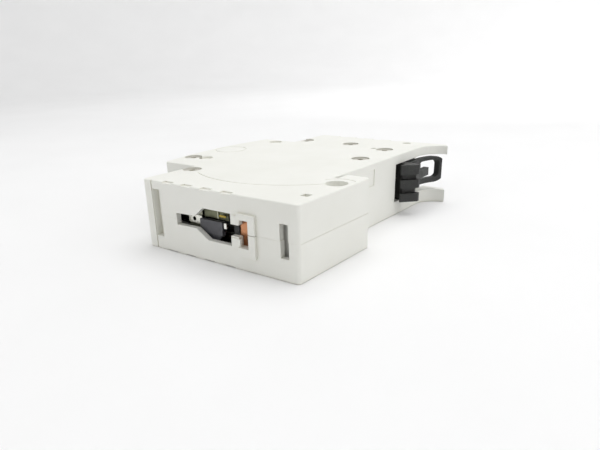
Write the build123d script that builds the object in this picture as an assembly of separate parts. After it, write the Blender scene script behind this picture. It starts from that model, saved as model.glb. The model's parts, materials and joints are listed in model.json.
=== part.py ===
from build123d import *
import math
import os

os.makedirs("parts", exist_ok=True)

# Single-pole miniature circuit breaker for a 35 mm rail, one module wide.
# Frame: the origin is the middle of the rail seat. +X points to the front (toggle side), +Y to the upper,
# fixed-jaw end, and +Z across the module. All sizes are millimetres.

# ---------------------------------------------------------------- driving sizes
module_width = 17.5      # across the module, one standard module
upper_reach = 42.5       # rail centre line to the upper end face
lower_reach = 37.5       # rail centre line to the lower end face
seat_depth = 7.8         # rail seat below the rear plane
shoulder_depth = 40.2    # rail seat to the terminal shoulders
nose_depth = 54.7        # rail seat to the middle of the nose
nose_slope = 2.5         # how much the nose front falls back at its ends
nose_top = 24.5
nose_bottom = -20.5
wall = 1.4               # housing walls
seam = 0.25              # height of the parting plane above mid-width
lip_recess = 1.9         # depth of the recess beside each front lip
vent_depth = 2.6         # depth of the vent slot in the upper end face
seam_groove = 0.08       # depth and width of the parting groove between the two shells
edge_fillet = 0.35
corner_fillet = 0.9
fit_gap = 0.05           # running fits, radial
slide_gap = 0.15         # sliding plastic parts, each side
free_gap = 0.3           # parts that only pass each other

# rail and latch
rail_width = 35.0
rail_thickness = 1.0
rail_play = 0.3
jaw_overlap = 4.0        # fixed jaw over the rail flange
latch_overlap = 2.6      # latch jaw over the rail flange
latch_travel = 3.8
latch_width = 10.6
latch_mid = 0.65         # middle of the latch across the module
latch_plate = 4.0        # latch plate thickness
arm_flare = 6.2          # rear reach of the side arms at the lower end

# toggle and contact mechanism
toggle_axis = (47.0, 1.0)
toggle_radius = 7.0
toggle_reach = 17.4
toggle_half_width = 4.2
toggle_off = -40.0       # lever direction at rest, degrees from the front
toggle_swing = 80.0
pin_radius = 1.5
crank_radius = 2.6       # link hole in the barrel
crank_angle = 168.0
link_wire = 0.6
arm_axis = (33.5, -6.0)
arm_lever = 4.6
arm_lever_angle = -5.0
contact_x = 17.5
contact_opening = 20.0   # degrees between open and closed
contact_mid = -2.7       # contact layer across the module
trip_axis = (37.5, -13.0)

# solenoid
coil_axis_x = 24.5
coil_bottom = 4.6
coil_length = 18.0
coil_inner = 3.25
coil_outer = 5.7
sleeve_inner = 2.45
plunger_radius = 2.3
plunger_stroke = 2.2
coil_wire = 1.9

# terminals
terminal_inset = 6.2     # screw axis from each end face
screw_radius = 2.5
screw_head_radius = 2.9
screw_head = 3.4
screw_pitch = 0.8
head_seat = 33.4         # underside of the screw head
cage_width = 6.8
cage_half_height = 6.0
cage_wall = 1.2
cage_front = 27.4        # front face of the tapped block at rest, clamp open
nut_height = 4.6
thread_gap = 0.08
bar_thickness = 1.5
bar_flange = 4.8         # width of the bent end that shows in the window
lower_terminal_shift = 3.0   # lower terminal stands this much further forward, clear of the latch

# arc chute
plate_count = 11
plate_pitch = 2.1
plate_thickness = 0.8

# ---------------------------------------------------------------- derived sizes
rear = -seat_depth
half_width = module_width / 2
inner_half = half_width - wall
rail_edge = rail_width / 2
jaw_tip = rail_edge - jaw_overlap
latch_tip = -(rail_edge - latch_overlap)
hook_gap = rail_thickness + rail_play
channel_floor = latch_plate + 0.4 + 0.3
body_mid = (upper_reach - lower_reach) / 2
ends = (upper_reach, -lower_reach)


# ---------------------------------------------------------------- shape helpers
def box(x, y, z):
    """Box between three (low, high) pairs."""
    middle = [(pair[0] + pair[1]) / 2 for pair in (x, y, z)]
    size = [abs(pair[1] - pair[0]) for pair in (x, y, z)]
    return Pos(*middle) * Box(*size)


def prism_of(face, z):
    """Straight prism on a face in XY, between two heights."""
    return Pos(0, 0, z[0]) * extrude(face, z[1] - z[0], dir=(0, 0, 1))


def prism(points, z):
    """Straight prism on a closed outline in XY, between two heights."""
    return prism_of(make_face(Polyline(*points, close=True)), z)


def rod_x(x, y, z, radius):
    """Cylinder along X between the two x values."""
    return Pos((x[0] + x[1]) / 2, y, z) * Rot(0, 90, 0) * Cylinder(radius, x[1] - x[0])


def rod_y(x, y, z, radius):
    """Cylinder along Y between the two y values."""
    return Pos(x, (y[0] + y[1]) / 2, z) * Rot(90, 0, 0) * Cylinder(radius, y[1] - y[0])


def rod_z(x, y, z, radius):
    """Cylinder along Z between the two z values."""
    return Pos(x, y, (z[0] + z[1]) / 2) * Cylinder(radius, z[1] - z[0])


def polar(centre, radius, degrees):
    """Point at a radius and angle from a centre in XY."""
    angle = math.radians(degrees)
    return (centre[0] + radius * math.cos(angle), centre[1] + radius * math.sin(angle))


def turned(shape, centre, degrees):
    """Shape turned about a Z axis through a centre in XY."""
    return Pos(*centre) * Rot(0, 0, degrees) * Pos(-centre[0], -centre[1]) * shape


def spring(radius, wire, length, turns):
    """Helical spring along +Z from the origin."""
    path = Helix(pitch=length / turns, height=length, radius=radius)
    start = Plane(origin=path @ 0, z_dir=path % 0)
    return sweep(start * Circle(wire), path=path)


def save(name, *solids):
    """One STEP file for a node, which may hold several separate solids."""
    shape = solids[0] if len(solids) == 1 else Compound(children=list(solids))
    export_step(shape, f"parts/{name}.step")


# ---------------------------------------------------------------- places shared by several parts
rivet_places = [(37.6, 28.0), (50.6, 15.1), (38.4, -25.0), (21.6, -25.4), (6.5, -5.9), (7.4, -21.4)]
rivet_shank = 1.5
rivet_head = 2.2
rivet_head_height = 0.7
rivet_recess = 2.55
rivet_recess_depth = 1.0
boss_radius = 2.4
# round recesses without a rivet: x, y, radius, depth
blind_recesses = [
    (46.2, 14.4, 2.1, 0.6), (45.6, -17.4, 2.1, 0.5), (6.6, -34.4, 1.3, 0.8), (11.2, -21.6, 0.8, 0.8),
]
accessory_hole = (-4.2, 22.8, 2.7, 2.2)
key_hole = (-4.5, 35.1, 2.0, 1.2)
# engraved rings and arcs: centre x and y, outer radius, line width, and the part of the face they cross
engraved_rings = [
    (19.3, 5.7, 28.45, 0.3, (rear, 33.0), (24.5, upper_reach)),
    (49.3, 0.4, 4.9, 0.35, (30, 60), (-20, 20)),
    (accessory_hole[0], accessory_hole[1], 4.9, 0.35, (rear + 0.8, 0.9), (16.0, 21.0)),
]
# shallow air grooves across the edges of both end faces: middle and half width along X
groove_places = (12.2, 18.6, 25.0, 31.4)
groove_half = 1.6
terminal_y = [end - math.copysign(terminal_inset, end) for end in ends]
terminal_shift = (0.0, lower_terminal_shift)


# ---------------------------------------------------------------- housing
def housing_blank(z):
    """Outer form of the housing between two heights, before anything is cut from it."""
    flare_start = -lower_reach + 8.0
    flare_end = -lower_reach + 1.6
    upper = [
        (rear, upper_reach), (shoulder_depth, upper_reach), (shoulder_depth, nose_top),
        (nose_depth - nose_slope, nose_top),
    ]
    lower = [
        (nose_depth - nose_slope, nose_bottom), (shoulder_depth, nose_bottom), (shoulder_depth, -lower_reach),
        (-arm_flare + 1.2, -lower_reach), (-arm_flare, flare_end),
    ]
    nose_front = ThreePointArc(upper[-1], (nose_depth, (nose_top + nose_bottom) / 2), lower[0])
    back = [
        (0, flare_start), (0, rail_edge + 0.1), (-hook_gap, rail_edge + 0.1), (-hook_gap, jaw_tip),
        (rear + 0.8, jaw_tip), (rear, jaw_tip + 0.8), (rear, upper_reach),
    ]
    sweep_out = TangentArc(back[0], lower[-1], tangent=(0, -1))
    runs = [*Polyline(*upper).edges(), *Polyline(*lower).edges(), *Polyline(*back).edges()]
    return prism_of(make_face([*runs, nose_front, sweep_out]), z)


def rounded_blank(z, outer):
    """Housing form with its upright corners rounded, and the edge of its side face at height outer."""
    blank = housing_blank(z)
    uprights = blank.edges().filter_by(Axis.Z)
    corners = [
        (rear, upper_reach), (shoulder_depth, upper_reach), (shoulder_depth, -lower_reach),
        (nose_depth - nose_slope, nose_top), (nose_depth - nose_slope, nose_bottom),
    ]
    chosen = [e for e in uprights if any(math.dist((e.center().X, e.center().Y), c) < 0.1 for c in corners)]
    blank = fillet(chosen, corner_fillet)
    rim = [e for e in blank.edges() if abs(e.center().Z - outer) < 1e-3 and e.bounding_box().size.Z < 1e-3]
    return fillet(rim, edge_fillet)


def main_cavity(z):
    """Hollow for the mechanism, coil and arc chute, and for both terminals."""
    front = shoulder_depth - wall
    nose_front = nose_depth - wall
    points = [
        (rear + wall, upper_reach - wall), (front, upper_reach - wall), (front, nose_top - wall),
        (nose_front - nose_slope, nose_top - wall), (nose_front, body_mid),
        (nose_front - nose_slope, nose_bottom + wall), (front, nose_bottom + wall),
        (front, -lower_reach + wall), (channel_floor + wall, -lower_reach + wall),
        (channel_floor + wall, latch_tip + wall), (wall, latch_tip + wall),
        (wall, rail_edge + wall), (rear + wall, rail_edge + wall),
    ]
    return prism(points, z)


def inner_ribs(z):
    """Partitions, rivet bosses and toggle funnel that stand in the cavity."""
    ribs = box((2.0, head_seat - 0.2), (terminal_y[0] - 6.4, terminal_y[0] - 5.2), z)
    ribs += box((channel_floor, head_seat - 0.2), (terminal_y[1] + 3.9, terminal_y[1] + 4.9), z)
    for x, y in rivet_places:
        ribs += rod_z(x, y, z, boss_radius)
    for y in terminal_y:
        ribs += box((head_seat - 1.6, head_seat - 0.3), (y - 3.8, y + 3.8), z)
        ribs += box((head_seat + screw_head + 0.3, shoulder_depth - 0.5), (y - 4.2, y + 4.2), z)
    # blind cup under the accessory hole, and the plate behind the vent slot
    cup = (-half_width, -half_width + accessory_hole[3] + 1.0) if z[0] < 0 else (
        half_width - accessory_hole[3] - 1.0, half_width)
    ribs += rod_z(*accessory_hole[:2], cup, accessory_hole[2] + 1.0) & box((rear, 60), (-60, 60), z)
    ribs += box((rear + 0.8, -0.6), (upper_reach - vent_depth - 1.2, upper_reach - vent_depth), z)
    # backing of the recesses beside the front lips
    for end in ends:
        side = math.copysign(1, end)
        ribs += box((33.6, 37.9), sorted((end - side * (lip_recess + 0.9), end - side * 0.6)), z)
    # slanted walls between the nose slot and the toggle barrel
    reach = slot_half_length()
    for side in (1, -1):
        near = polar(toggle_axis, toggle_radius + free_gap, side * 62)
        slot_end = (nose_depth - wall, toggle_axis[1] + side * reach)
        ribs += prism([near, slot_end, (slot_end[0], slot_end[1] + side * 1.2),
                       (near[0] - 0.6, near[1] + side * 1.0)], z)
    return ribs


def slot_half_length():
    """Half of the nose slot that the lever needs at both ends of its swing."""
    to_front = nose_depth - toggle_axis[0]
    half_swing = math.radians(toggle_swing / 2)
    return to_front * math.tan(half_swing) + 2.4 / math.cos(half_swing) + 0.5


def latch_channel():
    """Room for the sliding latch, open to the rear and at the lower end, with guide grooves in its sides."""
    low = latch_mid - latch_width / 2 - slide_gap
    high = latch_mid + latch_width / 2 + slide_gap
    channel = box((rear - 4, channel_floor), (-lower_reach - 4, latch_tip + free_gap), (low, high))
    grooves = box((1.85, 3.35), (-lower_reach - 4, latch_tip + free_gap), (low - 1.0, high + 1.0))
    return channel + grooves


def latch_post():
    """Post on the channel floor that the latch spring pushes against."""
    return box((1.3, channel_floor + 0.1), (post_y - 1.3, post_y), (latch_mid - 1.5, latch_mid + 1.5))


def end_openings(end, shift):
    """Everything cut through one end face: arrow-shaped screw opening, window and side recess."""
    side = math.copysign(1, end)
    outer = end + side * 2
    inner = end - side * (wall + 0.6)
    span = tuple(sorted((outer, inner)))
    x0 = shift
    # arrow-shaped opening in the XZ plane, running from the narrow slot at the front to the window
    outline = [
        (28.9, -1.25), (28.9, 1.65), (22.7, 1.85), (19.8, 4.15), (11.1, 4.15), (11.1, 1.75), (8.1, 1.75),
        (8.1, -0.95), (11.1, -0.95), (11.1, -3.45), (18.6, -3.45), (22.3, -1.15),
    ]
    arrow = Plane.XZ * make_face(Polyline(*[(x + x0, z) for x, z in outline], close=True))
    cut = Pos(0, span[0], 0) * extrude(arrow, span[1] - span[0], dir=(0, 1, 0))
    # window
    cut += box((5.5 + x0, 8.8 + x0), span, (-3.15, 3.35))
    # recess beside the front lip
    depth = tuple(sorted((outer, end - side * lip_recess)))
    cut += box((34.3, 37.1), depth, (-5.35, 6.65))
    # groove that sets the front lip apart
    lip = tuple(sorted((outer, end - side * 0.35)))
    cut += box((36.9, 37.3), lip, (-half_width - 1, half_width + 1))
    return cut


def window_frame(end, shift):
    """Raised C-shaped frame around the window, and the small cheeks beside it."""
    side = math.copysign(1, end)
    span = tuple(sorted((end + side * 0.7, end - side * 0.4)))
    outer = box((3.6 + shift, 8.7 + shift), span, (-5.15, 4.75))
    inner = box((5.5 + shift, 9.5 + shift), span, (-3.15, 3.35))
    deep = tuple(sorted((end + side * 0.25, end - side * 0.4)))
    cheeks = box((8.3 + shift, 10.9 + shift), deep, (-3.75, -1.35))
    cheeks += box((8.3 + shift, 10.4 + shift), deep, (2.15, 4.0))
    return (outer - inner) + cheeks


def outer_details():
    """Cuts in the outside of both shells: recesses, air grooves, screw holes, vent slot and nose slot."""
    cuts = []
    for face in (1, -1):
        top = face * half_width
        for x, y in rivet_places:
            cuts.append(rod_z(x, y, sorted((top - face * rivet_recess_depth, top + face)), rivet_recess))
        for x, y, radius, depth in [*blind_recesses, accessory_hole]:
            cuts.append(rod_z(x, y, sorted((top - face * depth, top + face)), radius))
        x, y, size, depth = key_hole
        cuts.append(box((x - size / 2, x + size / 2), (y - size / 2, y + size / 2),
                        sorted((top - face * depth, top + face))))
        # engraved arc that sets the terminal area apart, ring of the toggle bearing and rim of the hole
        line = sorted((top - face * 0.14, top + face))
        for x, y, radius, line_width, span_x, span_y in engraved_rings:
            ring = rod_z(x, y, line, radius) - rod_z(x, y, line, radius - line_width)
            cuts.append(ring & box(span_x, span_y, line))
        # air grooves across the edges of both end faces
        for end in ends:
            side = math.copysign(1, end)
            for x in groove_places:
                cuts.append(box((x - groove_half, x + groove_half), sorted((end + side, end - side * 1.2)),
                                sorted((top - face * 0.3, top + face))))
    # screwdriver holes in the shoulders
    for y in terminal_y:
        cuts.append(rod_x((head_seat + screw_head, shoulder_depth + 1), y, 0, screw_head_radius - 0.25))
    # vent slot in the upper end face, stepped at the seam, and slot in the rail seat
    vent_floor = upper_reach - vent_depth
    boss = rod_y(-3.6, (vent_floor - 1, vent_floor + 0.7), 3.1, 0.6)
    boss += prism([(-4.0, vent_floor - 1), (-3.2, vent_floor - 1), (-3.5, vent_floor + 0.5),
                   (-3.7, vent_floor + 0.5)], (-2.6, 2.4))
    cuts.append(box((-5.05, -2.8), (vent_floor, upper_reach + 1), (seam, 4.15)) - boss)
    cuts.append(box((-5.2, -2.95), (vent_floor, upper_reach + 1), (-3.55, seam)) - boss)
    cuts.append(box((-1, 0.2), (-2.4, 0.4), (2.65, 7.0)))
    # slot in the nose for the lever
    reach = slot_half_length()
    cuts.append(box((toggle_axis[0] + 4.0, nose_depth + 1),
                    (toggle_axis[1] - reach, toggle_axis[1] + reach),
                    (-toggle_half_width - 0.5, toggle_half_width + 0.5)))
    return cuts


def mechanism_room():
    """Space kept free of ribs for the two terminal screws."""
    room = []
    for y in terminal_y:
        room.append(rod_x((head_seat - 5, head_seat + 0.1), y, 0, screw_radius + fit_gap * 3))
        room.append(rod_x((head_seat - 0.05, head_seat + screw_head + 0.15), y, 0, screw_head_radius + 0.2))
    return room


post_y = latch_tip - 9.7

shell_heights = {"base_shell": (-half_width, seam), "cover_shell": (seam, half_width)}
details = outer_details()


def shell(name):
    """One half of the housing, with its floor, ribs, openings and outside details."""
    low, high = shell_heights[name]
    is_base = name == "base_shell"
    outer = low if is_base else high
    hollow = (low + wall, high) if is_base else (low, high - wall)
    body = rounded_blank((low, high), outer)
    body -= main_cavity(hollow)
    ribs = inner_ribs(hollow) & prism_inside(hollow)
    body += ribs
    for cut in mechanism_room():
        body -= cut
    for end, shift in zip(ends, terminal_shift):
        body -= end_openings(end, shift)
        body += window_frame(end, shift) & box((rear, shoulder_depth), (-60, 60), (low, high))
    for cut in details:
        body -= cut
    body -= parting_groove(low if not is_base else high - seam_groove)
    body -= latch_channel()
    body += latch_post() & box((-5, 10), (-60, 60), (low, high))
    for x, y in rivet_places:
        body -= rod_z(x, y, (-half_width, half_width), rivet_shank + fit_gap)
    # copper bars pass the partitions
    for y, shift in zip(terminal_y, terminal_shift):
        side = math.copysign(1, y)
        bar = (bar_front + shift - bar_thickness - 0.2, bar_front + shift + 0.2)
        body -= box(bar, sorted((y - side * 8.5, y - side * 3.0)), (-4.9, 4.1))
    # bearings of the toggle pin and the trip pin, and the hole for the contact pin
    for (x, y), radius in ((toggle_axis, pin_radius), (trip_axis, 1.0)):
        stub = rod_z(x, y, (-inner_half - 0.7, inner_half + 0.7), radius + fit_gap)
        body -= stub
    body -= rod_z(*arm_axis, (-inner_half - 0.7, -0.6), 1.0 + fit_gap)
    return body


def parting_groove(low):
    """Shallow step along the seam on the rear face, both end faces and the shoulders."""
    z = (low, low + seam_groove)
    end_depth = seam_groove / 2
    groove = box((rear - 1, rear + seam_groove), (jaw_tip + 1, upper_reach + 2), z)
    groove += box((rear - 1, shoulder_depth + 1), (upper_reach - end_depth, upper_reach + 2), z)
    groove += box((rear - 1, shoulder_depth + 1), (-lower_reach - 2, -lower_reach + end_depth), z)
    front = (shoulder_depth - seam_groove, shoulder_depth + 1)
    groove += box(front, (nose_top + 0.5, upper_reach + 2), z)
    groove += box(front, (-lower_reach - 2, nose_bottom - 0.5), z)
    return groove


def prism_inside(z):
    """Outline that keeps the ribs inside the housing walls."""
    return prism([(rear + 0.6, upper_reach - 0.6), (shoulder_depth - 0.6, upper_reach - 0.6),
                  (shoulder_depth - 0.6, nose_top - 0.6), (nose_depth - nose_slope - 0.7, nose_top - 0.6),
                  (nose_depth - 0.7, body_mid), (nose_depth - nose_slope - 0.7, nose_bottom + 0.6),
                  (shoulder_depth - 0.6, nose_bottom + 0.6), (shoulder_depth - 0.6, -lower_reach + 0.6),
                  (channel_floor, -lower_reach + 0.6), (channel_floor, latch_tip + 0.6),
                  (0.6, latch_tip + 0.6), (0.6, rail_edge + 0.7), (rear + 0.6, rail_edge + 0.7)], z)


bar_front = 11.1         # front face of the upper terminal bar

base = shell("base_shell")
cover = shell("cover_shell")
save("base_shell", base)
save("cover_shell", cover)

rivets = []
for x, y in rivet_places:
    reach = half_width - rivet_recess_depth
    shank = rod_z(x, y, (-reach, reach), rivet_shank)
    heads = [rod_z(x, y, sorted((s * reach, s * (reach + rivet_head_height))), rivet_head) for s in (1, -1)]
    eyes = [rod_z(x, y, sorted((s * (reach + 0.3), s * half_width)), 0.8) for s in (1, -1)]
    rivets.append(shank + heads[0] + heads[1] - eyes[0] - eyes[1])
save("case_rivets", *rivets)


# ---------------------------------------------------------------- toggle
def toggle():
    """Barrel with a flared lever, a bore for its pin and a crank hole for the link."""
    cx, cy = toggle_axis
    barrel = rod_z(cx, cy, (-toggle_half_width, toggle_half_width), toggle_radius)
    lever = prism([(cx + 4, cy - 2.4), (cx + 11.0, cy - 2.2), (cx + toggle_reach, cy - 2.9),
                   (cx + toggle_reach + 0.4, cy), (cx + toggle_reach, cy + 2.9), (cx + 11.0, cy + 2.2),
                   (cx + 4, cy + 2.4)], (-toggle_half_width, toggle_half_width))
    lever = turned(lever, toggle_axis, toggle_off)
    body = barrel + lever
    tip = polar(toggle_axis, toggle_reach, toggle_off)
    uprights = body.edges().filter_by(Axis.Z)
    tip_edges = [e for e in uprights if math.dist((e.center().X, e.center().Y), tip) < 3.4]
    body = fillet(tip_edges, 0.7)
    body -= rod_z(cx, cy, (-10, 10), pin_radius + fit_gap)
    crank = polar(toggle_axis, crank_radius, crank_angle)
    body -= rod_z(*crank, (-10, -1.0), link_wire + fit_gap)
    return body


crank_pin = polar(toggle_axis, crank_radius, crank_angle)
save("toggle_lever", toggle())
save("toggle_pin", rod_z(*toggle_axis, (-inner_half - 0.6, inner_half + 0.6), pin_radius))

coil_of_toggle = Pos(*toggle_axis, toggle_half_width + 0.3) * spring(2.3, 0.28, 2.2, 3)
save("toggle_spring", coil_of_toggle)


# ---------------------------------------------------------------- link and contact arm
def link():
    """Bent wire between the crank of the toggle and the lever of the contact carrier."""
    foot = polar(arm_axis, arm_lever, arm_lever_angle)
    layer = -toggle_half_width - 1.1
    dx, dy = foot[0] - crank_pin[0], foot[1] - crank_pin[1]
    length = math.hypot(dx, dy)
    bar = Pos((foot[0] + crank_pin[0]) / 2, (foot[1] + crank_pin[1]) / 2, layer)
    bar = bar * Rot(0, 0, math.degrees(math.atan2(dy, dx))) * Rot(0, 90, 0) * Cylinder(link_wire, length)
    upper = rod_z(*crank_pin, (layer, -1.6), link_wire) + Pos(*crank_pin, layer) * Sphere(link_wire)
    lower = rod_z(*foot, (layer, -2.2), link_wire) + Pos(*foot, layer) * Sphere(link_wire)
    return bar + upper + lower


save("toggle_link", link())


def open_arm(shape):
    """Contact parts are drawn closed and turned to their open place."""
    return turned(shape, arm_axis, contact_opening)


contact_layer = (contact_mid - 1.5, contact_mid + 1.5)
contact_face = 1.6       # meeting plane of the two contact tips
tip_height = 1.2

arm_points = [
    (arm_axis[0] - 2.2, arm_axis[1] + 1.5), (contact_x + 5, contact_face - tip_height - 0.2),
    (contact_x + 2, contact_face - tip_height), (contact_x - 2, contact_face - tip_height),
    (contact_x - 2, contact_face - tip_height - 1.6), (contact_x + 4.6, contact_face - tip_height - 2.4),
    (arm_axis[0] - 2.2, arm_axis[1] - 1.2),
]
save("contact_arm", open_arm(prism(arm_points, contact_layer)))
moving_tip = rod_y(contact_x, (contact_face - tip_height, contact_face), contact_mid, 1.4)
save("moving_contact_tip", open_arm(moving_tip))


def carrier():
    """Plastic hub on the contact pin that holds the arm and takes the link in an oversize hole."""
    layer = (contact_mid - 1.9, contact_mid + 1.9)
    hub = rod_z(*arm_axis, layer, 3.0)
    ear_end = polar(arm_axis, arm_lever, arm_lever_angle)
    ear = rod_z(*ear_end, layer, 2.4) + turned(
        box((arm_axis[0], arm_axis[0] + arm_lever), (arm_axis[1] - 2.2, arm_axis[1] + 2.2), layer),
        arm_axis, arm_lever_angle)
    jaw = open_arm(box((arm_axis[0] - 5.4, arm_axis[0]), (arm_axis[1] - 1.9, arm_axis[1] + 3.3), layer))
    body = hub + ear + jaw
    body -= open_arm(prism(arm_points, contact_layer))
    body -= rod_z(*arm_axis, (-10, 10), 1.0 + fit_gap)
    body -= rod_z(*ear_end, (-10, 10), link_wire + 0.75)
    return body


save("contact_carrier", carrier())
save("contact_pin", rod_z(*arm_axis, (-inner_half - 0.6, -0.65), 1.0))
save("contact_spring", Pos(*arm_axis, -inner_half + 0.3) * spring(2.0, 0.25, 1.9, 3))


# ---------------------------------------------------------------- trip lever
def trip_lever():
    """Lever on its own pin: a finger under the plunger and a tail under the bimetal."""
    qx, qy = trip_axis
    layer = (-0.4, 3.0)
    finger_x = coil_axis_x
    finger_y = coil_bottom - 1.5
    hub = rod_z(qx, qy, layer, 2.4)
    finger = prism([(qx - 1.9, qy - 0.6), (qx + 0.4, qy + 2.2), (finger_x + 3.2, finger_y - 1.2),
                    (finger_x + 2.0, finger_y), (finger_x - 1.6, finger_y), (finger_x - 1.6, finger_y - 1.4),
                    (finger_x + 0.9, finger_y - 2.4)], layer)
    tail = prism([(qx, qy - 2.3), (qx, qy - 0.4), (qx - 7.2, qy - 0.2), (qx - 7.2, qy - 1.6)], layer)
    body = hub + finger + tail
    body -= rod_z(qx, qy, (-10, 10), 1.0 + fit_gap)
    return body


save("trip_lever", trip_lever())
save("trip_pin", rod_z(*trip_axis, (-inner_half - 0.6, inner_half + 0.6), 1.0))

# ---------------------------------------------------------------- solenoid
coil_top = coil_bottom + coil_length
yoke_plate = 1.2
flange = 0.9


def yoke():
    """Steel frame around the coil, bored for the sleeve."""
    front = coil_axis_x + coil_outer + 1.2
    span = (coil_axis_x - coil_outer - 0.6, front + yoke_plate)
    plates = box(span, (coil_bottom, coil_bottom + yoke_plate), (-5.5, 5.5))
    plates += box(span, (coil_top, coil_top + yoke_plate), (-5.5, 5.5))
    plates += box((front, front + yoke_plate), (coil_bottom, coil_top + yoke_plate), (-5.5, 5.5))
    bore = rod_y(coil_axis_x, (coil_bottom - 1, coil_top + yoke_plate + 1), 0, coil_inner)
    return plates - bore


def former():
    """Sleeve with two flanges that carries the winding."""
    x = coil_axis_x
    low = coil_bottom + yoke_plate
    body = rod_y(x, (coil_bottom, coil_top + yoke_plate), 0, coil_inner - fit_gap)
    for y in (low, coil_top - flange):
        body += rod_y(x, (y, y + flange), 0, coil_outer + 0.3)
    return body - rod_y(x, (coil_bottom - 1, coil_top + 3), 0, sleeve_inner)


def winding():
    """Close-wound copper coil between the flanges."""
    low = coil_bottom + yoke_plate + flange
    high = coil_top - flange
    turns = int((high - low) / coil_wire)
    mid = (coil_inner + coil_outer) / 2
    body = rod_y(coil_axis_x, (low + 0.1, high - 0.1), 0, mid + 0.35)
    for i in range(turns):
        y = low + (high - low) * (i + 0.5) / turns
        body += Pos(coil_axis_x, y, 0) * Rot(90, 0, 0) * Torus(mid + 0.2, coil_wire * 0.48)
    return body - rod_y(coil_axis_x, (low - 1, high + 1), 0, coil_inner)


save("solenoid_yoke", yoke())
save("coil_former", former())
save("solenoid_coil", winding())

core_top = coil_bottom + 4.0
plunger_low = core_top + plunger_stroke + 0.4
core = rod_y(coil_axis_x, (coil_bottom, core_top), 0, sleeve_inner - fit_gap)
save("pole_core", core - rod_y(coil_axis_x, (coil_bottom - 1, core_top + 1), 0, 0.95))
pin_low = coil_bottom - 1.2
plunger = rod_y(coil_axis_x, (plunger_low, plunger_low + 9.0), 0, plunger_radius)
plunger += rod_y(coil_axis_x, (pin_low, plunger_low + 1.0), 0, 0.8)
save("plunger", plunger)
plunger_coil = spring(1.6, 0.22, plunger_low - core_top - 0.45, 3)
save("plunger_spring", Pos(coil_axis_x, core_top + 0.2, 0) * Rot(-90, 0, 0) * plunger_coil)

# ---------------------------------------------------------------- fixed contact, arc parts
strip_low = contact_face + tip_height
fixed_strip = box((contact_x - 2.6, coil_axis_x - 3.4), (strip_low, strip_low + 1.2), contact_layer)
fixed_strip += box((contact_x - 2.6, contact_x - 1.4), (strip_low, coil_top - 4), contact_layer)
save("fixed_contact_strip", fixed_strip)
save("fixed_contact_tip", rod_y(contact_x, (contact_face, strip_low), contact_mid, 1.4))

plates = []
chute_low = -1.6
for i in range(plate_count):
    y = chute_low + i * plate_pitch
    plate = box((2.4, 12.8), (y, y + plate_thickness), (-5.6, 5.6))
    wedge = Pos(0, y - 0.1, 0) * extrude(Plane.XZ * make_face(
        Polyline((13.2, contact_mid - 2.6), (13.2, contact_mid + 2.6), (7.8, contact_mid), close=True)),
        plate_thickness + 0.2, dir=(0, 1, 0))
    plates.append(plate - wedge)
save("arc_splitter_plates", *plates)
chute_high = chute_low + (plate_count - 1) * plate_pitch + plate_thickness
chute_span = (chute_low - 0.3, chute_high + 0.3)
cheeks = [box((2.4, 12.8), chute_span, sorted((s * 5.65, s * 6.35))) for s in (1, -1)]
save("arc_chute_cheeks", *cheeks)
save("arc_runner", box((2.4, 13.4), (chute_low - 1.7, chute_low - 0.9), contact_layer))

# ---------------------------------------------------------------- bimetal and its bracket
bimetal_root = (14.6, -13.4)
bimetal_tip = (31.0, -10.85)
slope = math.degrees(math.atan2(bimetal_tip[1] - bimetal_root[1], bimetal_tip[0] - bimetal_root[0]))
bimetal_length = math.dist(bimetal_root, bimetal_tip)
strip = box((0, bimetal_length), (-0.45, 0.45), (-2.4, 2.6))
save("bimetal_strip", Pos(*bimetal_root) * Rot(0, 0, slope) * strip)
lower_bar_x = bar_front + lower_terminal_shift
bracket = box((lower_bar_x - bar_thickness, lower_bar_x), (-19.8, -12.2), (-2.4, 2.6))
bracket -= rod_x((0, 30), -16.6, 0, 1.0 + fit_gap)
save("bimetal_bracket", bracket)
save("calibration_screw", rod_x((9.0, 16.4), -16.6, 0, 1.0) + rod_x((8.2, 9.0), -16.6, 0, 1.7))

braid_path = FilletPolyline((27.0, -8.3), (27.0, -9.4), (24.4, -10.4), (24.4, -11.2), radius=0.45)
braid_section = Plane(origin=braid_path @ 0, z_dir=braid_path % 0) * Circle(0.55)
save("contact_braid", Pos(0, 0, contact_mid) * sweep(braid_section, path=braid_path))


# ---------------------------------------------------------------- terminals
def thread_profile(low, high, radius, pitch):
    """Half section of a threaded shank: one V groove for each pitch, worked out by a loop."""
    points = [(0, low)]
    count = int((high - low) / pitch)
    for i in range(count):
        start = low + i * pitch
        points += [(radius, start + 0.1 * pitch), (radius, start + 0.3 * pitch)]
        points += [(radius - 0.35, start + 0.65 * pitch)]
    points += [(radius, low + count * pitch + 0.05), (radius, high), (0, high)]
    return points


def terminal_screw(y, tip):
    """Slotted cross-head screw with a threaded shank, on the terminal's axis."""
    profile = make_face(Polyline(*thread_profile(tip, head_seat, screw_radius, screw_pitch), close=True))
    shank = revolve(profile, Axis.Y)
    body = Pos(0, y, 0) * Rot(0, 0, -90) * shank
    head = rod_x((head_seat, head_seat + screw_head), y, 0, screw_head_radius)
    top = head_seat + screw_head
    drive = box((top - 1.6, top + 1), (y - 0.5, y + 0.5), (-4, 4)) + box(
        (top - 1.6, top + 1), (y - 1.9, y + 1.9), (-0.5, 0.5))
    return body + (head - drive)


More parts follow.
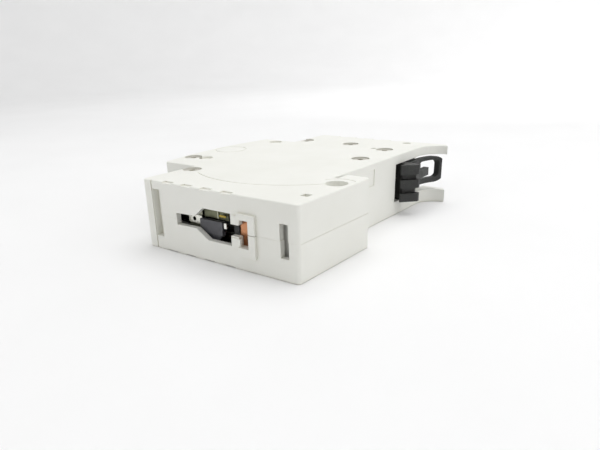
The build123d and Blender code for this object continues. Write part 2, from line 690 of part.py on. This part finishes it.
def terminal_cage(y, rear_x, end):
    """Steel loop around the bar: rear wall, two side walls and a tapped front block with a punch mark."""
    side = math.copysign(1, end)
    span = (y - cage_width / 2, y + cage_width / 2)
    high = cage_half_height
    body = box((rear_x, rear_x + cage_wall), span, (-high, high))
    for s in (1, -1):
        body += box((rear_x, cage_front), span, sorted((s * (high - cage_wall), s * high)))
    body += box((cage_front - nut_height, cage_front), span, (-high, high))
    body -= rod_x((cage_front - nut_height - 1, cage_front + 1), y, 0, screw_radius + thread_gap)
    outer = y + side * cage_width / 2
    body -= rod_y(cage_front - 1.8, sorted((outer + side, outer - side * 0.9)), 0, 0.55)
    return body


def wire_guard(y, end):
    """Black moulded shutter on the outer face of the cage: block, rounded foot and a clip."""
    side = math.copysign(1, end)
    face = y + side * cage_width / 2
    span = sorted((face, face + side * 1.15))
    foot = sorted((face, face + side * 0.6))
    body = box((15.4, 22.6), span, (-2.4, 0.9))
    body += rod_y(18.9, foot, -2.2, 2.5)
    body += box((17.0, 20.4), foot, (-cage_half_height, -0.2))
    return body


def terminal_bar(y, front, lead_end):
    """Copper bar behind the screw tip, with its outer end bent over the window and a lead that runs inwards."""
    side = math.copysign(1, y)
    outer = y + side * 3.9
    inner = y - side * 4.6
    body = box((front - bar_thickness, front), sorted((inner, outer)), (-4.6, 3.8))
    body += box((front - bar_thickness, front), sorted((inner, lead_end)), (-2.4, 2.6))
    body += box((front - bar_flange, front), sorted((outer - side * 0.1, outer + side * 0.7)), (-4.6, 3.8))
    return body


cage_rear = (2.6, 6.7)
cage_travel = (4.0, 3.6)
names = ("upper", "lower")
lead_ends = (coil_top + 2.6, -19.8)
for name, y, shift, rear_x, end, lead in zip(names, terminal_y, terminal_shift, cage_rear, ends, lead_ends):
    save(f"{name}_terminal_screw", terminal_screw(y, bar_front + shift + 0.2))
    save(f"{name}_terminal_cage", terminal_cage(y, rear_x, end))
    save(f"{name}_wire_guard", wire_guard(y, end))
    bar = terminal_bar(y, bar_front + shift, lead)
    if name == "upper":
        bar += box((bar_front - bar_thickness, coil_axis_x), (lead, lead + bar_thickness), (-2.4, 2.6))
    save(f"{name}_terminal_bar", bar)


# ---------------------------------------------------------------- rail latch
def pull_ring(start):
    """Flat ring in line with the plate that bends to the rear like the side arms, with a rounded window."""
    bend = -lower_reach + 9.4
    tip = -lower_reach + 0.4
    rear_face = TangentArc((-0.9, bend), (-arm_flare + 1.7, tip + 0.5), tangent=(0, -1))
    front_face = TangentArc((0.5, bend), (-arm_flare + 3.0, tip), tangent=(0, -1))
    runs = Polyline((0.5, bend), (0.5, start), (-0.9, start), (-0.9, bend))
    edge = Line(rear_face @ 1, front_face @ 1)
    height = (latch_mid - 3.1, latch_mid + 4.9)
    strip = prism_of(make_face([*runs.edges(), rear_face, edge, front_face]), height)
    blank = box((-8, 3), (tip - 0.2, start + 1), height)
    blank = fillet([e for e in blank.edges().filter_by(Axis.X) if e.center().Y < tip], 2.8)
    hole = box((-8, 3), (tip + 1.1, bend - 0.4), (latch_mid - 1.5, latch_mid + 3.8))
    hole = fillet(hole.edges().filter_by(Axis.X), 1.3)
    return (strip & blank) - hole


def din_latch():
    """Sliding latch: guided plate, ramped jaw with two grooves, pull ring and finger tab."""
    low = latch_mid - latch_width / 2
    high = latch_mid + latch_width / 2
    width = (low, high)
    plate_end = latch_tip - 12.4
    jaw_top = rear + 2.5
    plate = box((0.4, 0.4 + latch_plate), (plate_end, latch_tip - 2.7), width)
    flanges = box((2.0, 3.2), (plate_end, latch_tip - 2.7), (low - 0.85, high + 0.85))
    jaw_end = latch_tip - 4.5
    jaw = prism([(0.5, -rail_edge - 0.2), (-hook_gap - 0.05, -rail_edge - 0.2), (-hook_gap - 0.05, latch_tip),
                 (-hook_gap - 0.4, latch_tip), (jaw_top + 0.4, latch_tip - 3.1), (jaw_top, latch_tip - 3.6),
                 (jaw_top, jaw_end), (-1.2, jaw_end - 0.6), (0.5, jaw_end - 0.6)], width)
    groove_depth = 1.3
    for middle in (latch_mid - 2.1, latch_mid + 1.8):
        ramp = [
            (-hook_gap + 0.9, latch_tip + 0.4), (-hook_gap - 0.4, latch_tip + 0.4), (rear, latch_tip - 3.4),
            (rear, latch_tip - 6), (jaw_top + groove_depth, latch_tip - 6),
            (jaw_top + groove_depth, latch_tip - 4.0), (-hook_gap + 0.2, latch_tip - groove_depth),
        ]
        jaw -= prism(ramp, (middle - 0.75, middle + 0.75))
    tab = box((-4.2, -2.6), (latch_tip - 12.6, jaw_end + 0.3), (latch_mid + 0.6, latch_mid + 2.9))
    body = plate + flanges + jaw + pull_ring(jaw_end) + tab
    pocket = box((1.1, 6), (post_y - 1.5, spring_top), (latch_mid - 2.0, latch_mid + 2.0))
    return body - pocket


spring_top = latch_tip - 3.6
save("din_latch", din_latch())
latch_coil = spring(1.45, 0.22, spring_top - post_y - 0.5, 6)
save("latch_spring", Pos(2.75, post_y + 0.25, latch_mid) * Rot(-90, 0, 0) * latch_coil)
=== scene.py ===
import json
import math

import bmesh
import bpy
from mathutils import Matrix, Vector


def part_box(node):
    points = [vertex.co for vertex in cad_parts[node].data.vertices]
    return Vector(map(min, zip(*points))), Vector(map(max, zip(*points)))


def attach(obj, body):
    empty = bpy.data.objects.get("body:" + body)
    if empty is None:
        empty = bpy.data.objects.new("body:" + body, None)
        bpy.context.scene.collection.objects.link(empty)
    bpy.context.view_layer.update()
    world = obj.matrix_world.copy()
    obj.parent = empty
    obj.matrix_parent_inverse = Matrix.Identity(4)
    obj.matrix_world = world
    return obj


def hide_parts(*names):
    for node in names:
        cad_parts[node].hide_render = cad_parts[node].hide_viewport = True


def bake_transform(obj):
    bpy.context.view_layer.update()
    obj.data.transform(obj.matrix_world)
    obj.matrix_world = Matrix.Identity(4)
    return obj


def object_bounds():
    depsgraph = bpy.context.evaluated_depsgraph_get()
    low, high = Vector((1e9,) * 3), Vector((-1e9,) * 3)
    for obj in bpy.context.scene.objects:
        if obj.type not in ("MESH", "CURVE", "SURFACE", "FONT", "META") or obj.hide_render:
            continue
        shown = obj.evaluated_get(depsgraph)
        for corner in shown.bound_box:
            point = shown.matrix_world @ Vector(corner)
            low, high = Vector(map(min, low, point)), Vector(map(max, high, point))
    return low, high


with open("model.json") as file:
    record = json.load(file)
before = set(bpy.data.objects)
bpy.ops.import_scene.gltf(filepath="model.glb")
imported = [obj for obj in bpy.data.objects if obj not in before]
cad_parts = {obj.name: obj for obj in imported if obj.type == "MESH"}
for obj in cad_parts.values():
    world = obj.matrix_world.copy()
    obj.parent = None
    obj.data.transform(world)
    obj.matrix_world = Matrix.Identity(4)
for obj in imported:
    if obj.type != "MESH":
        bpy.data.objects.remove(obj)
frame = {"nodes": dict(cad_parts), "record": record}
cad_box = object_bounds()

# A slim rail-mounted circuit breaker, lying on its side face.
# +X is its front, +Y its upper end and +Z runs across it.
MM = 0.001


# ---------------------------------------------------------------- colours and nodes
def srgb(code):
    """Linear colour of an sRGB hex code."""
    parts = [int(code[i:i + 2], 16) / 255 for i in (0, 2, 4)]
    return (*[c / 12.92 if c <= 0.04045 else ((c + 0.055) / 1.055) ** 2.4 for c in parts], 1.0)


def per_mm(size):
    """Pattern scale that gives one feature for each size in millimetres."""
    return 1 / (size * MM)


def feed(tree, node, inputs):
    """Fills a node's inputs: an output socket is linked in, and anything else is set as a value."""
    for name, value in inputs.items():
        if isinstance(value, bpy.types.NodeSocket):
            tree.links.new(value, node.inputs[name])
        else:
            node.inputs[name].default_value = value


def add(tree, kind, output, inputs, **settings):
    """Adds one node with its settings and inputs, and gives back the output that the next node reads."""
    node = tree.nodes.new(kind)
    for name, value in settings.items():
        setattr(node, name, value)
    feed(tree, node, inputs)
    return node.outputs[output]


def new_finish(name):
    """Empty node material with its shader, and the Object coordinates that every pattern reads."""
    material = bpy.data.materials.new(name)
    material.use_nodes = True
    tree = material.node_tree
    place = add(tree, "ShaderNodeTexCoord", "Object", {})
    return material, tree, tree.nodes["Principled BSDF"], place


# most of a noise lies between these two values, so they are spread over the whole range that is wanted
NOISE_SPREAD = {"From Min": 0.3, "From Max": 0.7}
FULL = {"To Min": 0.0, "To Max": 1.0}
# sockets of the colour mix: amount, first colour, second colour and the mixed colour
AMOUNT, FIRST, SECOND, MIXED = 0, 6, 7, 2


# ---------------------------------------------------------------- plastics
def light_grey_polyamide():
    """Moulded polyamide case: satin, with a fine spark-eroded skin, faint flow clouds and painted warm shade
    in corners and recesses.
    """
    material, tree, shader, place = new_finish("light_grey_moulded_polyamide")
    flow = add(tree, "ShaderNodeTexNoise", "Fac", {"Vector": place, "Scale": per_mm(14.0), "Detail": 3.0})
    clouds = add(tree, "ShaderNodeMapRange", "Result", {"Value": flow, **NOISE_SPREAD, **FULL})
    body = add(tree, "ShaderNodeMix", MIXED, {AMOUNT: clouds, FIRST: srgb("E5E5DE"), SECOND: srgb("E9E9E3")},
               data_type="RGBA")
    # ambient occlusion blends a darker warm colour into corners and recesses: painted shade
    corner = add(tree, "ShaderNodeAmbientOcclusion", "AO", {"Distance": 1.2 * MM}, samples=6)
    painted_recess_shade = add(tree, "ShaderNodeMapRange", "Result", {"Value": corner, "From Min": 0.35, "From Max": 0.95,
                                                       "To Min": 0.4, "To Max": 0.0})
    body_with_painted_recess_shade = add(tree, "ShaderNodeMix", MIXED, {AMOUNT: painted_recess_shade, FIRST: body, SECOND: srgb("DAD7C6")},
               data_type="RGBA")
    # a spark-eroded skin is about 0.05 mm; drawn at 0.3 mm so that it shows
    skin = add(tree, "ShaderNodeTexNoise", "Fac", {"Vector": place, "Scale": per_mm(0.3), "Detail": 3.0})
    handled = add(tree, "ShaderNodeTexNoise", "Fac", {"Vector": place, "Scale": per_mm(5.0), "Detail": 2.0})
    satin = add(tree, "ShaderNodeMapRange", "Result", {"Value": handled, **NOISE_SPREAD,
                                                       "To Min": 0.42, "To Max": 0.52})
    relief = add(tree, "ShaderNodeBump", "Normal", {"Height": skin, "Strength": 1.0, "Distance": 0.012 * MM})
    feed(tree, shader, {"Base Color": body_with_painted_recess_shade, "Roughness": satin, "Normal": relief, "IOR": 1.53,
                        "Specular IOR Level": 0.4})
    return material


def black_plastic(name, code, worn, rough, grain, depth, fibres):
    """Black moulded plastic: fine skin, greyed in patches, and pale specks where glass fibres lie bare."""
    material, tree, shader, place = new_finish(name)
    wear = add(tree, "ShaderNodeTexNoise", "Fac", {"Vector": place, "Scale": per_mm(4.0), "Detail": 4.0})
    patches = add(tree, "ShaderNodeMapRange", "Result", {"Value": wear, **NOISE_SPREAD, **FULL})
    body = add(tree, "ShaderNodeMix", MIXED, {AMOUNT: patches, FIRST: srgb(code), SECOND: srgb(worn)},
               data_type="RGBA")
    if fibres:
        # fibres are about 0.2 mm long; stretched along the slide direction, as the melt flowed
        flow = add(tree, "ShaderNodeMapping", "Vector", {"Vector": place, "Scale": (1.0, 0.25, 1.0)})
        bare = add(tree, "ShaderNodeTexNoise", "Fac", {"Vector": flow, "Scale": per_mm(0.25), "Detail": 1.0})
        specks = add(tree, "ShaderNodeMapRange", "Result", {"Value": bare, "From Min": 0.62, "From Max": 0.78,
                                                            "To Min": 0.0, "To Max": fibres})
        body = add(tree, "ShaderNodeMix", MIXED, {AMOUNT: specks, FIRST: body, SECOND: srgb("77766F")},
                   data_type="RGBA")
    rubbed = add(tree, "ShaderNodeTexNoise", "Fac", {"Vector": place, "Scale": per_mm(1.5), "Detail": 2.0})
    sheen = add(tree, "ShaderNodeMapRange", "Result", {"Value": rubbed, **NOISE_SPREAD,
                                                       "To Min": rough - 0.06, "To Max": rough + 0.06})
    skin = add(tree, "ShaderNodeTexNoise", "Fac", {"Vector": place, "Scale": per_mm(grain), "Detail": 2.0})
    relief = add(tree, "ShaderNodeBump", "Normal", {"Height": skin, "Strength": 1.0, "Distance": depth * MM})
    feed(tree, shader, {"Base Color": body, "Roughness": sheen, "Normal": relief, "IOR": 1.53})
    return material


def buff_thermoset():
    """Moulded mineral-filled thermoset: dull, chalky and a little speckled."""
    material, tree, shader, place = new_finish("buff_moulded_thermoset")
    filler = add(tree, "ShaderNodeTexNoise", "Fac", {"Vector": place, "Scale": per_mm(0.5), "Detail": 3.0})
    speckle = add(tree, "ShaderNodeMapRange", "Result", {"Value": filler, **NOISE_SPREAD, **FULL})
    body = add(tree, "ShaderNodeMix", MIXED, {AMOUNT: speckle, FIRST: srgb("B9B19B"), SECOND: srgb("CCC6B3")},
               data_type="RGBA")
    relief = add(tree, "ShaderNodeBump", "Normal", {"Height": speckle, "Strength": 1.0,
                                                    "Distance": 0.01 * MM})
    feed(tree, shader, {"Base Color": body, "Roughness": 0.62, "Normal": relief})
    return material


def vulcanised_fibre():
    """Pressed cellulose sheet: brick red, matt, with a faint long grain."""
    material, tree, shader, place = new_finish("brick_red_vulcanised_fibre")
    along = add(tree, "ShaderNodeMapping", "Vector", {"Vector": place, "Scale": (1.0, 0.15, 1.0)})
    pulp = add(tree, "ShaderNodeTexNoise", "Fac", {"Vector": along, "Scale": per_mm(0.4), "Detail": 3.0})
    grain = add(tree, "ShaderNodeMapRange", "Result", {"Value": pulp, **NOISE_SPREAD, **FULL})
    body = add(tree, "ShaderNodeMix", MIXED, {AMOUNT: grain, FIRST: srgb("8A4B39"), SECOND: srgb("A05F48")},
               data_type="RGBA")
    relief = add(tree, "ShaderNodeBump", "Normal", {"Height": grain, "Strength": 1.0, "Distance": 0.01 * MM})
    feed(tree, shader, {"Base Color": body, "Roughness": 0.7, "Normal": relief})
    return material


# ---------------------------------------------------------------- metals
def metal(name, code, stained, rough, brushing, depth):
    """Bare or plated metal: rolling lines along Y, stains in patches, and a sheen that varies a little."""
    material, tree, shader, place = new_finish(name)
    tarnish = add(tree, "ShaderNodeTexNoise", "Fac", {"Vector": place, "Scale": per_mm(3.0), "Detail": 4.0})
    stains = add(tree, "ShaderNodeMapRange", "Result", {"Value": tarnish, **NOISE_SPREAD, **FULL})
    body = add(tree, "ShaderNodeMix", MIXED, {AMOUNT: stains, FIRST: srgb(code), SECOND: srgb(stained)},
               data_type="RGBA")
    rubbed = add(tree, "ShaderNodeTexNoise", "Fac", {"Vector": place, "Scale": per_mm(1.2), "Detail": 2.0})
    sheen = add(tree, "ShaderNodeMapRange", "Result", {"Value": rubbed, **NOISE_SPREAD,
                                                       "To Min": rough - 0.07, "To Max": rough + 0.07})
    along = add(tree, "ShaderNodeMapping", "Vector", {"Vector": place, "Scale": (1.0, 0.12, 1.0)})
    lines = add(tree, "ShaderNodeTexNoise", "Fac", {"Vector": along, "Scale": per_mm(brushing),
                                                    "Detail": 2.0})
    relief = add(tree, "ShaderNodeBump", "Normal", {"Height": lines, "Strength": 1.0, "Distance": depth * MM})
    feed(tree, shader, {"Base Color": body, "Metallic": 1.0, "Roughness": sheen, "Normal": relief})
    return material


def braided_copper():
    """Bare copper braid: fine slanted wires, each 0.1 mm, drawn at about 0.6 mm so that they show, with
    painted shade in the grooves between them.
    """
    material, tree, shader, place = new_finish("bare_copper_braid")
    turned = add(tree, "ShaderNodeMapping", "Vector", {"Vector": place,
                                                       "Rotation": (0.0, 0.0, math.radians(45))})
    # the wave texture repeats every pi / 10 units at a scale of one
    wire_ridges_and_groove_shade = add(tree, "ShaderNodeTexWave", "Fac", {"Vector": turned, "Scale": per_mm(0.594) * math.pi / 10,
                                                   "Distortion": 1.5})
    # the dark copper along the low side of each wave is painted shade in the grooves between the wires
    body = add(tree, "ShaderNodeMix", MIXED, {AMOUNT: wire_ridges_and_groove_shade, FIRST: srgb("6E3A22"), SECOND: srgb("C98358")},
               data_type="RGBA")
    relief = add(tree, "ShaderNodeBump", "Normal", {"Height": wire_ridges_and_groove_shade, "Strength": 1.0, "Distance": 0.06 * MM})
    feed(tree, shader, {"Base Color": body, "Metallic": 1.0, "Roughness": 0.4, "Normal": relief})
    return material


finishes = {
    "housing": light_grey_polyamide(),
    "toggle": black_plastic("black_moulded_polyamide", "1B1B1D", "232325", 0.38, 0.5, 0.006, 0.0),
    "latch": black_plastic("black_glass_filled_polyamide", "1B1C1B", "262725", 0.5, 0.35, 0.015, 0.25),
    "guard": black_plastic("charcoal_moulded_polyamide", "434347", "505055", 0.5, 0.4, 0.012, 0.0),
    "mechanism": buff_thermoset(),
    "fibre": vulcanised_fibre(),
    "steel": metal("zinc_plated_steel", "B4B4A4", "8F9080", 0.36, 0.35, 0.01),
    "rivet": metal("nickel_plated_steel", "DEDBD2", "C9C6BB", 0.36, 0.4, 0.008),
    "screw": metal("black_passivated_steel", "2B2B2B", "1D1E1D", 0.34, 0.3, 0.01),
    "copper": metal("rolled_bare_copper", "D49B77", "B87F5C", 0.34, 0.35, 0.01),
    "silver": metal("silver_contact_alloy", "E9E8E2", "CFCDC2", 0.3, 0.4, 0.008),
    "bimetal": metal("rolled_bimetal", "9D9787", "857E70", 0.38, 0.3, 0.01),
}
braid_finish = braided_copper()
brass_finish = metal("rolled_brass", "C9B25A", "A8944A", 0.3, 0.3, 0.008)
olive_finish = metal("olive_passivated_zinc_plate", "8E9078", "6F715D", 0.4, 0.3, 0.01)
# a lighter copy of the olive zinc plate, used on the guide rib as a painted highlight streak
zinc_highlight_finish = metal("zinc_plate_painted_highlight", "C9CBB8", "9A9C86", 0.35, 0.3, 0.01)
barrier_finish = black_plastic("black_moulded_barrier", "151515", "1C1C1B", 0.55, 0.4, 0.02, 0.0)
bright_finish = metal("bright_tin_plated_steel", "F2F2EC", "DADAD0", 0.28, 0.4, 0.008)


def dress(node, material):
    """A CAD part keeps its mesh and takes a finish in each of its material places."""
    if not node.material_slots:
        node.data.materials.append(material)
    for place in node.material_slots:
        place.material = material


for part in frame["record"]["subparts"]:
    dress(frame["nodes"][part["node"]], finishes[part["material_slot"]])
dress(frame["nodes"]["contact_braid"], braid_finish)


# ---------------------------------------------------------------- small pieces in the terminals
def finished(shape, name, body, material):
    """Turns a worked bmesh into a piece that rides on a body."""
    bmesh.ops.recalc_face_normals(shape, faces=shape.faces)
    mesh = bpy.data.meshes.new(name)
    shape.to_mesh(mesh)
    shape.free()
    mesh.materials.append(material)
    piece = bpy.data.objects.new(name, mesh)
    bpy.context.scene.collection.objects.link(piece)
    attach(piece, body)
    return piece


def block(low, high, rounding):
    """Block between two corners, with all its edges rounded."""
    shape = bmesh.new()
    bmesh.ops.create_cube(shape, size=1.0)
    size = high - low
    bmesh.ops.scale(shape, vec=size, verts=shape.verts)
    bmesh.ops.translate(shape, vec=(low + high) / 2, verts=shape.verts)
    bmesh.ops.bevel(shape, geom=shape.edges[:], offset=rounding, segments=2, profile=0.5,
                    affect="EDGES", material=-1)
    return shape


def pierced_strip(low, high, hole_x, hole_radius):
    """Flat strip in an XZ plane with one round hole, between two corners."""
    shape = bmesh.new()
    middle_z = (low.z + high.z) / 2
    around = 32
    rim, hole = [], []
    for i in range(around):
        angle = math.tau * i / around
        turn = Vector((math.cos(angle), 0, math.sin(angle)))
        # each rim point lies where its ray from the hole meets the strip's outline
        to_side = ((high.x if turn.x > 0 else low.x) - hole_x) / turn.x if abs(turn.x) > 1e-6 else math.inf
        to_edge = (high.z - middle_z) / abs(turn.z) if abs(turn.z) > 1e-6 else math.inf
        centre = Vector((hole_x, low.y, middle_z))
        rim.append(shape.verts.new(centre + turn * min(to_side, to_edge)))
        hole.append(shape.verts.new(centre + turn * hole_radius))
    for i in range(around):
        shape.faces.new((rim[i - 1], rim[i], hole[i], hole[i - 1]))
    grown = bmesh.ops.extrude_face_region(shape, geom=shape.faces[:])["geom"]
    bmesh.ops.translate(shape, vec=(0, high.y - low.y, 0),
                        verts=[v for v in grown if isinstance(v, bmesh.types.BMVert)])
    return shape


# end faces of the case along Y, and how far each terminal's bar stands forward of the upper one
terminals = {"upper": (42.5, 0.0), "lower": (-37.5, 3.0)}

# blocks in each terminal: name, place along X, depth below the end face, height across the case, rounding,
# body, slot and finish, in millimetres
terminal_blocks = [
    ("_guide_plate", (14.6, 22.4), (3.1, 3.5), (1.0, 4.6), 0.1, "clamp", "steel", olive_finish),
    # the rib's lighter zinc is a painted highlight streak on the guide plate
    ("_guide_rib_painted_highlight", (17.5, 18.0), (2.8, 3.15), (1.1, 4.4), 0.12, "clamp", "steel", zinc_highlight_finish),
    ("_brass_bit", (14.6, 16.8), (2.2, 2.6), (1.9, 2.5), 0.15, "clamp", "steel", brass_finish),
    ("_silver_bit", (14.0, 14.9), (1.6, 2.3), (-0.5, 0.9), 0.15, "clamp", "steel", bright_finish),
    ("_bar_barrier", (9.7, 11.3), (1.3, 1.55), (-3.4, 2.8), 0.1, "housing", "guard", barrier_finish),
]
strip_hole_x = 25.2
strip_hole_radius = 0.55


def corners(face, x, depth, z):
    """Low and high corners, in metres, of a box at that depth below the end face."""
    y = sorted(face - math.copysign(d, face) for d in depth)
    return Vector((x[0], y[0], z[0])) * MM, Vector((x[1], y[1], z[1])) * MM


def terminal_details(end, face, bar_shift):
    """What shows around the guard: strip over the clamp, guide plate with a rib in lighter zinc as a painted
    highlight streak, small bits and a barrier.
    """
    clamp = end + "_clamp"
    low, high = corners(face, (22.4, 27.2), (2.4, 2.75), (-0.75, 1.25))
    strip = pierced_strip(low, high, strip_hole_x * MM, strip_hole_radius * MM)
    finished(strip, end + "_plated_strip", clamp, bright_finish)
    for name, x, depth, z, rounding, part, slot_name, material in terminal_blocks:
        # the barrier stands with the bar, and everything else goes with the clamp
        shift, body = (bar_shift, part) if part == "housing" else (0.0, clamp)
        low, high = corners(face, (x[0] + shift, x[1] + shift), depth, z)
        finished(block(low, high, rounding * MM), end + name, body, material)


# ---------------------------------------------------------------- springs drawn as round-wire coils
wire = 0.22 * MM
steps_per_turn = 24


def pressed_spring(node, turns):
    """Round-wire coil along Y in the place of its CAD part, which is hidden."""
    low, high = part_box(node)
    steps = turns * steps_per_turn
    middle = (low + high) / 2
    coil_radius = (high.x - low.x) / 2 - wire
    rise = (high.y - low.y - 2 * wire) / steps
    shape = bmesh.new()
    bmesh.ops.create_circle(shape, segments=10, radius=wire, matrix=Matrix.Translation((coil_radius, 0, 0)))
    bmesh.ops.spin(shape, geom=shape.verts[:] + shape.edges[:], cent=(0, 0, 0), axis=(0, 1, 0),
                   dvec=(0, rise, 0), angle=math.tau * turns, steps=steps)
    bmesh.ops.holes_fill(shape, edges=[e for e in shape.edges if e.is_boundary], sides=0)
    bmesh.ops.translate(shape, vec=(middle.x, low.y + wire, middle.z), verts=shape.verts)
    bmesh.ops.recalc_face_normals(shape, faces=shape.faces)
    for face in shape.faces:
        face.smooth = True
    mesh = bpy.data.meshes.new(node + "_coil")
    shape.to_mesh(mesh)
    shape.free()
    mesh.materials.append(finishes["steel"])
    piece = bpy.data.objects.new(node + "_coil", mesh)
    bpy.context.scene.collection.objects.link(piece)
    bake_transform(piece)
    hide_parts(node)


pressed_spring("plunger_spring", 3)
pressed_spring("latch_spring", 6)


# ---------------------------------------------------------------- floor, lights and camera
def studio_floor():
    """Pale floor that curves up all round into a pale wall."""
    lowest = cad_box[0][2]
    reach, sweep, height = 0.55, 0.3, 0.9
    shape = bmesh.new()
    profile = [Vector((0, 0, 0)), Vector((reach, 0, 0))]
    steps = 12
    for i in range(1, steps + 1):
        turn = math.radians(90 * i / steps)
        profile.append(Vector((reach + sweep * math.sin(turn), 0, sweep * (1 - math.cos(turn)))))
    profile.append(Vector((reach + sweep, 0, height)))
    verts = [shape.verts.new(p) for p in profile]
    edges = [shape.edges.new(pair) for pair in zip(verts, verts[1:])]
    bmesh.ops.spin(shape, geom=verts + edges, cent=(0, 0, 0), axis=(0, 0, 1), angle=math.tau, steps=64,
                   use_merge=True)
    bmesh.ops.remove_doubles(shape, verts=shape.verts, dist=MM / 10)
    bmesh.ops.recalc_face_normals(shape, faces=shape.faces)
    bmesh.ops.reverse_faces(shape, faces=shape.faces)
    for face in shape.faces:
        face.smooth = True
    bmesh.ops.translate(shape, vec=(0, 0, lowest), verts=shape.verts)
    mesh = bpy.data.meshes.new("studio_floor")
    shape.to_mesh(mesh)
    shape.free()
    material, tree, shader, place = new_finish("white_card_floor")
    mottle = add(tree, "ShaderNodeTexNoise", "Fac", {"Vector": place, "Scale": per_mm(40.0), "Detail": 2.0})
    card = add(tree, "ShaderNodeMapRange", "Result", {"Value": mottle, **NOISE_SPREAD, **FULL})
    body = add(tree, "ShaderNodeMix", MIXED, {AMOUNT: card, FIRST: srgb("EFEFEF"), SECOND: srgb("F1F1F1")},
               data_type="RGBA")
    feed(tree, shader, {"Base Color": body, "Roughness": 0.9, "Specular IOR Level": 0.1})
    mesh.materials.append(material)
    floor = bpy.data.objects.new("studio_floor", mesh)
    bpy.context.scene.collection.objects.link(floor)


def soft_light(name, place, aim, size, power):
    """Square studio softbox."""
    data = bpy.data.lights.new(name, "AREA")
    data.size = size
    data.energy = power
    light = bpy.data.objects.new(name, data)
    bpy.context.scene.collection.objects.link(light)
    light.location = place
    light.rotation_euler = (Vector(aim) - Vector(place)).to_track_quat("-Z", "Y").to_euler()
    light.visible_camera = False


def studio_camera():
    """Hand-held camera near the upper end, looking down along the side of the case."""
    data = bpy.data.cameras.new("camera")
    data.sensor_width = 36.0
    data.lens = 33.66
    data.shift_x = 0.0233
    data.shift_y = 0.085
    data.clip_start = 0.005
    data.clip_end = 10.0
    camera = bpy.data.objects.new("camera", data)
    bpy.context.scene.collection.objects.link(camera)
    heading, dip, lean = math.radians(-141.74), math.radians(22.39), math.radians(-1.82)
    turn = Matrix.Rotation(heading, 4, "Z") @ Matrix.Rotation(math.pi / 2 - dip, 4, "X")
    place = Matrix.Translation((-0.0728, 0.1295, 0.03835))
    camera.matrix_world = place @ turn @ Matrix.Rotation(lean, 4, "Z")
    bpy.context.scene.camera = camera


def studio_light():
    """Even white surroundings, a large softbox above and weaker ones round the object and the far wall."""
    world = bpy.data.worlds.new("studio")
    world.use_nodes = True
    world.node_tree.nodes["Background"].inputs["Color"].default_value = srgb("FFFFFF")
    world.node_tree.nodes["Background"].inputs["Strength"].default_value = 0.51
    bpy.context.scene.world = world
    middle = (0.02, 0.0, 0.0)
    soft_light("softbox_above", (0.0, -0.12, 0.6), middle, 0.6, 2.35)
    soft_light("softbox_rail_side", (-0.45, -0.1, 0.25), middle, 0.3, 0.45)
    soft_light("softbox_upper_end", (0.1, 0.5, 0.3), middle, 0.4, 0.3)
    soft_light("softbox_far_wall", (-0.05, -0.35, 0.3), (0.2, -0.85, 0.15), 0.3, 0.9)
    bpy.context.scene.view_settings.view_transform = "Standard"


for end, (face, bar_shift) in terminals.items():
    terminal_details(end, face, bar_shift)
studio_floor()
studio_light()
studio_camera()
